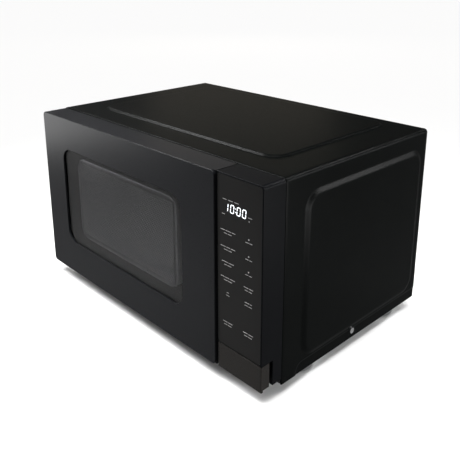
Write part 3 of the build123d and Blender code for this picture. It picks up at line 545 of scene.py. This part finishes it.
def cover_skin(material):
    """Outer cover as one folded sheet with its pressed fields, strip, dimples and hemmed edge."""
    low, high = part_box("outer_cover")
    side = high.x - SIDE_RAISE
    top = high.z - TOP_RAISE
    front, rear = low.y, high.y
    depths = [front + HEM * (1 - math.cos(index * math.pi / 8)) for index in range(4)]
    # where along Y the spacing of the points changes, and the widest gap from each to the next
    marks = [front + HEM, STRIP_FRONT, SIDE_FIELD[0][0], SIDE_FIELD[0][0] + FIELD_R + 6 * MM,
             DIMPLE[0] - 3 * MM, DIMPLE[0] + 3 * MM, TOP_FIELD[1][1] - FIELD_R, SIDE_FIELD[1][0],
             rear - REAR_EDGE]
    gaps = [4 * MM, 1.2 * MM, 1.0 * MM, 10 * MM, 0.8 * MM, 12 * MM, 1.0 * MM, 4 * MM]
    for start, stop, largest in zip(marks, marks[1:], gaps):
        depths += steps(start, stop, largest)
    depths += [rear - REAR_EDGE, rear]
    stations = skin_stations(side, low.z, top)
    points = []
    for x, z, nx, nz, wall in stations:
        for y in depths:
            raised = 0.0
            if wall == "side":
                raised = side_relief(y, z)
            if wall == "top":
                raised = top_relief(x, y)
            if y < front + HEM:
                angle = math.acos(1 - (y - front) / HEM)
                raised -= HEM * (1 - math.sin(angle))
            points.append((x + nx * raised, y, z + nz * raised))
    row = len(depths)
    faces = []
    for i in range(len(stations) - 1):
        for j in range(row - 1):
            first = i * row + j
            faces.append((first, first + 1, first + row + 1, first + row))
    skin = new_piece("cover_skin", points, faces, material, "cabinet")
    thicken(skin, SHEET, -1)
    apply_modifiers(skin)
    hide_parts("outer_cover")
    return skin


# ---------------------------------------------------------------- door screen
SCREEN_DISH = ((-0.148, 0.0815), (0.073, 0.2025))   # (X, Z) corners of the part pressed forward
DISH_R = 18.0 * MM
DISH_EDGE = 1.5 * MM                                # rounding between its face and its wall
SCREEN_HOLES = ((-0.1435, 0.0860), (0.0695, 0.1990))
HOLE_PITCH = 3.0 * MM
HOLE_ROW = 2.6 * MM
HOLE_R = 0.95 * MM
HOLE_SIDES = 6
HOLE_START = 210                                    # degrees to a hole's first corner, lower left
SCREEN_CORNER = 14.0 * MM
CHOKE_RING = ((-0.197, 0.046), (0.093, 0.231))
CHOKE_R = 14.0 * MM
PAN_R = 4.0 * MM
FLANGE_BACK = 10.8 * MM                             # flange front to the pan's rear edge
CORNER_STEPS = 8                                    # straight pieces per rounded corner
SHOULDER_STEPS = 5                                  # bands across the rounded shoulder


def rounded_outline(low, high, radius):
    """Points of a rounded rectangle, counter-clockwise from its lower right corner."""
    points = []
    corners = (((high[0] - radius, low[1] + radius), -90), ((high[0] - radius, high[1] - radius), 0),
               ((low[0] + radius, high[1] - radius), 90), ((low[0] + radius, low[1] + radius), 180))
    for (cx, cz), start in corners:
        for step in range(CORNER_STEPS + 1):
            angle = math.radians(start + 90 * step / CORNER_STEPS)
            points.append((cx + radius * math.cos(angle), cz + radius * math.sin(angle)))
    return points


def inset_dish(inset):
    """Outline of the pressed part, moved inwards."""
    (x0, z0), (x1, z1) = SCREEN_DISH
    return rounded_outline((x0 + inset, z0 + inset), (x1 - inset, z1 - inset), DISH_R - inset)


def perforated_sheet(front, field_finish):
    """Front of the pressed part: staggered six-sided holes, both faces and the holes' walls.

    Cells that reach past the rounded corners of the field stay closed. Four last faces on each
    side join the field of cells to the outline of the pressed part.
    """
    back = front + SHEET
    (x0, z0), (x1, z1) = SCREEN_HOLES
    columns = int((x1 - x0) / HOLE_PITCH)
    rows = int((z1 - z0) / HOLE_ROW)
    points, faces, index_of = [], [], {}
    half = HOLE_PITCH / 2

    def vertex(x, y, z):
        key = (round(x * 1e6), round(y * 1e6), round(z * 1e6))
        if key not in index_of:
            index_of[key] = len(points)
            points.append((x, y, z))
        return index_of[key]

    for row in range(rows):
        shift = half if row % 2 else 0.0
        bottom, top = z0 + row * HOLE_ROW, z0 + (row + 1) * HOLE_ROW
        count = columns - 1 if row % 2 else columns
        if row % 2:
            for left, right in ((x0, x0 + half), (x0 + columns * HOLE_PITCH - half,
                                                  x0 + columns * HOLE_PITCH)):
                for y, order in ((front, 1), (back, -1)):
                    quad = [vertex(left, y, bottom), vertex(right, y, bottom),
                            vertex(right, y, top), vertex(left, y, top)]
                    faces.append(quad[::order])
        for column in range(count):
            left = x0 + shift + column * HOLE_PITCH
            cx, right = left + half, left + HOLE_PITCH
            cz = (bottom + top) / 2
            cell = [(left, bottom), (cx, bottom), (right, bottom), (right, top), (cx, top),
                    (left, top)]
            open_cell = inside_distance(cx, cz, *SCREEN_HOLES, SCREEN_CORNER) > HOLE_ROW / 2
            rings = {}
            for y, order in ((front, 1), (back, -1)):
                outer = [vertex(x, y, z) for x, z in cell]
                if not open_cell:
                    faces.append(outer[::order])
                    continue
                ring = []
                for turn in range(HOLE_SIDES):
                    angle = math.radians(HOLE_START + 360 / HOLE_SIDES * turn)
                    ring.append(vertex(cx + HOLE_R * math.cos(angle), y,
                                       cz + HOLE_R * math.sin(angle)))
                rings[order] = ring
                for k in range(HOLE_SIDES):
                    n = (k + 1) % HOLE_SIDES
                    faces.append([outer[k], outer[n], ring[n], ring[k]][::order])
            if open_cell:
                for k in range(HOLE_SIDES):
                    n = (k + 1) % HOLE_SIDES
                    faces.append([rings[1][k], rings[1][n], rings[-1][n], rings[-1][k]])
    right_edge, top_edge = x0 + columns * HOLE_PITCH, z0 + rows * HOLE_ROW
    inner = [[(x0 + k * half, z0) for k in range(2 * columns + 1)],
             [(right_edge, z0 + k * HOLE_ROW) for k in range(rows + 1)],
             [(right_edge - k * half, top_edge) for k in range(2 * columns + 1)],
             [(x0, top_edge - k * HOLE_ROW) for k in range(rows + 1)]]
    outline = inset_dish(DISH_EDGE)
    for side in range(4):
        first = (side - 1) * (CORNER_STEPS + 1) + CORNER_STEPS // 2
        outer = [outline[(first + k) % len(outline)] for k in range(CORNER_STEPS + 2)]
        for y, order in ((front, 1), (back, -1)):
            faces.append([vertex(x, y, z) for x, z in outer + inner[side][::-1]][::order])
    return new_piece("door_screen_sheet", points, faces, field_finish, "door", smooth=False)


def wall_loop(name, outline, front, back, material, body):
    """Thin wall that follows an outline in XZ from front to back."""
    count = len(outline)
    points = [(x, y, z) for y in (front, back) for x, z in outline]
    faces = []
    for k in range(count):
        n = (k + 1) % count
        faces.append((k, count + k, count + n, n))
    wall = new_piece(name, points, faces, material, body)
    thicken(wall, SHEET, -1)
    apply_modifiers(wall)
    return wall


def flat_ring(name, outer, inner, front, thickness, material, body):
    """Flat band between two outlines in XZ of equal length, with its four faces."""
    count = len(outer)
    points = [(x, y, z) for outline, y in ((outer, front), (inner, front),
                                           (inner, front + thickness), (outer, front + thickness))
              for x, z in outline]
    faces = []
    for k in range(count):
        n = (k + 1) % count
        for loop in range(4):
            here, after = loop * count, (loop + 1) % 4 * count
            faces.append((here + k, here + n, after + n, after + k))
    return new_piece(name, points, faces, material, body, smooth=False)


def dish_wall(front, back, material):
    """Wall of the pressed part: a rounded shoulder, then straight back to the flange."""
    rings = []
    for step in range(SHOULDER_STEPS + 1):
        angle = math.pi / 2 * step / SHOULDER_STEPS
        inset = DISH_EDGE * (1 - math.sin(angle))
        rings.append((inset_dish(inset), front + DISH_EDGE * (1 - math.cos(angle))))
    rings.append((inset_dish(0), back))
    count = len(rings[0][0])
    points = [(x, y, z) for outline, y in rings for x, z in outline]
    faces = []
    for level in range(len(rings) - 1):
        for k in range(count):
            n = (k + 1) % count
            here, after = level * count, (level + 1) * count
            faces.append((here + k, after + k, after + n, here + n))
    wall = new_piece("door_dish_wall", points, faces, material, "door")
    thicken(wall, SHEET, -1)
    apply_modifiers(wall)
    return wall


def door_screen(material, field_finish, painted_highlight_wall_finish):
    """Steel inner door: perforated part pressed forward, its wall, flange, pan and choke walls."""
    low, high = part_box("door_screen")
    flange = high.y - FLANGE_BACK
    sheet = perforated_sheet(low.y, field_finish)
    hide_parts("door_screen")
    pan = rounded_outline((low.x, low.z), (high.x, high.z), PAN_R)
    choke = rounded_outline(*CHOKE_RING, CHOKE_R)
    # the pressed wall takes the lighter copy of the screen steel, a painted highlight
    pieces = [sheet, dish_wall(low.y, flange + SHEET, painted_highlight_wall_finish)]
    pieces.append(flat_ring("door_screen_flange", pan, inset_dish(0), flange, SHEET, material,
                            "door"))
    for name, outline in (("door_pan_wall", pan), ("door_choke_wall", choke)):
        pieces.append(wall_loop(name, outline, flange + SHEET, high.y, material, "door"))


# ---------------------------------------------------------------- display and key print
PRINT_LIFT = 0.06 * MM
END_STEPS = 5                                       # straight pieces per round end of a bar


def flat_shapes(name, outlines, front, material):
    """Flat closed outlines in (X, Z) that lie on a face at Y front and face -Y."""
    points, faces = [], []
    for outline in outlines:
        first, count = len(points), len(outline)
        points += [(x, front - PRINT_LIFT, z) for x, z in outline]
        points += [(x, front, z) for x, z in outline]
        faces.append(tuple(range(first, first + count)))
        faces.append(tuple(reversed(range(first + count, first + 2 * count))))
        for k in range(count):
            n = (k + 1) % count
            faces.append((first + k, first + count + k, first + count + n, first + n))
    return new_piece(name, points, faces, material, "cabinet", smooth=False)


def bar(x0, x1, z, height):
    """Outline of a round-ended bar from x0 to x1."""
    radius = height / 2
    outline = []
    for centre, start in ((x1 - radius, -90), (x0 + radius, 90)):
        for step in range(END_STEPS + 1):
            angle = math.radians(start + 180 * step / END_STEPS)
            outline.append((centre + radius * math.cos(angle), z + radius * math.sin(angle)))
    return outline


SEGMENTS_OF = {"0": "abcdef", "1": "bc"}
DIGIT_W, DIGIT_H = 5.6 * MM, 9.8 * MM
DIGIT_STROKE = 0.95 * MM
DIGIT_SLANT = 0.10
SEGMENT_GAP = 0.18 * MM
CLOCK = "1000"
CLOCK_X, CLOCK_Z = 0.1652, 0.2164
DIGIT_PLACES = (-0.0028, 0.0060, 0.0156, 0.0236)    # from CLOCK_X
COLON_PLACE = 0.0138                                # from CLOCK_X
COLON_HEIGHTS = (0.30, 0.70)                        # shares of a digit's height
COLON_R = 0.55 * MM


def segment(kind, x, z):
    """One segment of a slanted seven-segment digit whose lower left corner is (x, z)."""
    stroke = DIGIT_STROKE / 2
    half = DIGIT_H / 2
    left, right = stroke, DIGIT_W - stroke
    ends = {"a": ((left, DIGIT_H - stroke), (right, DIGIT_H - stroke)),
            "d": ((left, stroke), (right, stroke)),
            "b": ((right, half), (right, DIGIT_H - stroke)), "c": ((right, stroke), (right, half)),
            "f": ((left, half), (left, DIGIT_H - stroke)), "e": ((left, stroke), (left, half))}
    (u0, v0), (u1, v1) = ends[kind]
    if kind in "ad":
        u0, u1 = u0 + SEGMENT_GAP, u1 - SEGMENT_GAP
        local = [(u0, v0), (u0 + stroke, v0 - stroke), (u1 - stroke, v0 - stroke), (u1, v0),
                 (u1 - stroke, v0 + stroke), (u0 + stroke, v0 + stroke)]
    else:
        v0, v1 = v0 + SEGMENT_GAP, v1 - SEGMENT_GAP
        local = [(u0, v0), (u0 + stroke, v0 + stroke), (u0 + stroke, v1 - stroke), (u0, v1),
                 (u0 - stroke, v1 - stroke), (u0 - stroke, v0 + stroke)]
    return [(x + u + DIGIT_SLANT * v, z + v) for u, v in local]


def disc(x, z, radius, count=16):
    """Outline of a round dot."""
    angles = [2 * math.pi * k / count for k in range(count)]
    return [(x + radius * math.cos(a), z + radius * math.sin(a)) for a in angles]


def display(finishes, front):
    """Lit digits of the clock and its colon."""
    shapes = []
    for character, place in zip(CLOCK, DIGIT_PLACES):
        for kind in SEGMENTS_OF[character]:
            shapes.append(segment(kind, CLOCK_X + place, CLOCK_Z))
    for share in COLON_HEIGHTS:
        height = DIGIT_H * share
        shapes.append(disc(CLOCK_X + COLON_PLACE + DIGIT_SLANT * height, CLOCK_Z + height, COLON_R))
    digits = flat_shapes("display_digits", shapes, front, finishes["digits"])


# small printed marks round the display: left end, right end, height
MARKS = ((0.1600, 0.1660, 0.2298), (0.1685, 0.1755, 0.2298), (0.1775, 0.1840, 0.2298),
         (0.1588, 0.1635, 0.2128), (0.1975, 0.2035, 0.2190))
MARK_H = 0.65 * MM
MARK_DOT = (0.1992, 0.2150, 0.7 * MM)               # X, Z, radius
LEFT_COLUMN, RIGHT_COLUMN = 0.1678, 0.1990
KEY_ROWS = (0.1928, 0.1738, 0.1560, 0.1375, 0.1198)
LAST_ROW = 0.0830
INK = 0.62 * MM                                     # height of a printed line
LINE_GAP = 3.4 * MM
WORD_GAP = 0.9 * MM
ICON_R = 0.9 * MM
ICON_LIFT = 0.6 * LINE_GAP


def words(centre, z, widths):
    """Row of blank word bars centred on a place, standing in for a printed line."""
    total = sum(widths) + WORD_GAP * (len(widths) - 1)
    x = centre - total / 2
    row = []
    for width in widths:
        row.append(bar(x, x + width, z, INK))
        x += width + WORD_GAP
    return row


def key_print(finishes, front):
    """Blank stand-ins for the key legends: short bars and dots, no lettering."""
    shapes = []
    for x0, x1, z in MARKS:
        shapes.append(bar(x0, x1, z, MARK_H))
    shapes.append(disc(*MARK_DOT))
    long_lines = ((7, 9, 5), (8, 6, 7), (10, 8), (6, 6, 8))
    short_lines = ((5, 6), (6, 5), (4, 6), (6, 6))
    for z, upper, lower in zip(KEY_ROWS, long_lines, short_lines):
        shapes += words(LEFT_COLUMN, z + LINE_GAP / 2, [w * MM for w in upper])
        shapes += words(LEFT_COLUMN, z - LINE_GAP / 2, [w * MM for w in lower])
    shapes += words(LEFT_COLUMN, KEY_ROWS[4] + LINE_GAP / 2, [3.5 * MM])
    shapes += words(LEFT_COLUMN, KEY_ROWS[4] - LINE_GAP / 2, [5.5 * MM])
    for z in KEY_ROWS[:3]:
        shapes.append(disc(RIGHT_COLUMN, z + ICON_LIFT, ICON_R))
        shapes += words(RIGHT_COLUMN, z - LINE_GAP / 2, [5 * MM, 4 * MM])
    for z, upper in ((KEY_ROWS[3], (7, 6)), (KEY_ROWS[4], (7, 3))):
        shapes += words(RIGHT_COLUMN, z + LINE_GAP / 2, [w * MM for w in upper])
        shapes += words(RIGHT_COLUMN, z - LINE_GAP / 2, [5 * MM, 5 * MM])
    for column in (LEFT_COLUMN, RIGHT_COLUMN):
        shapes += words(column, LAST_ROW + LINE_GAP / 2, [7 * MM, 7 * MM])
        shapes += words(column, LAST_ROW - LINE_GAP / 2, [5 * MM, 6 * MM])
    ink = flat_shapes("key_print", shapes, front, finishes["ink"])


# ---------------------------------------------------------------- the whole
finishes = make_materials()
make_studio()
make_camera()
finish_nodes(finishes)
cover_skin(finishes["cover"])
door_screen(finishes["screen"], finishes["screen_field"], finishes["screen_wall_painted_highlight"])
panel_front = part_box("keypad_overlay")[0].y
display(finishes, panel_front)
key_print(finishes, panel_front)

bpy.context.view_layer.update()
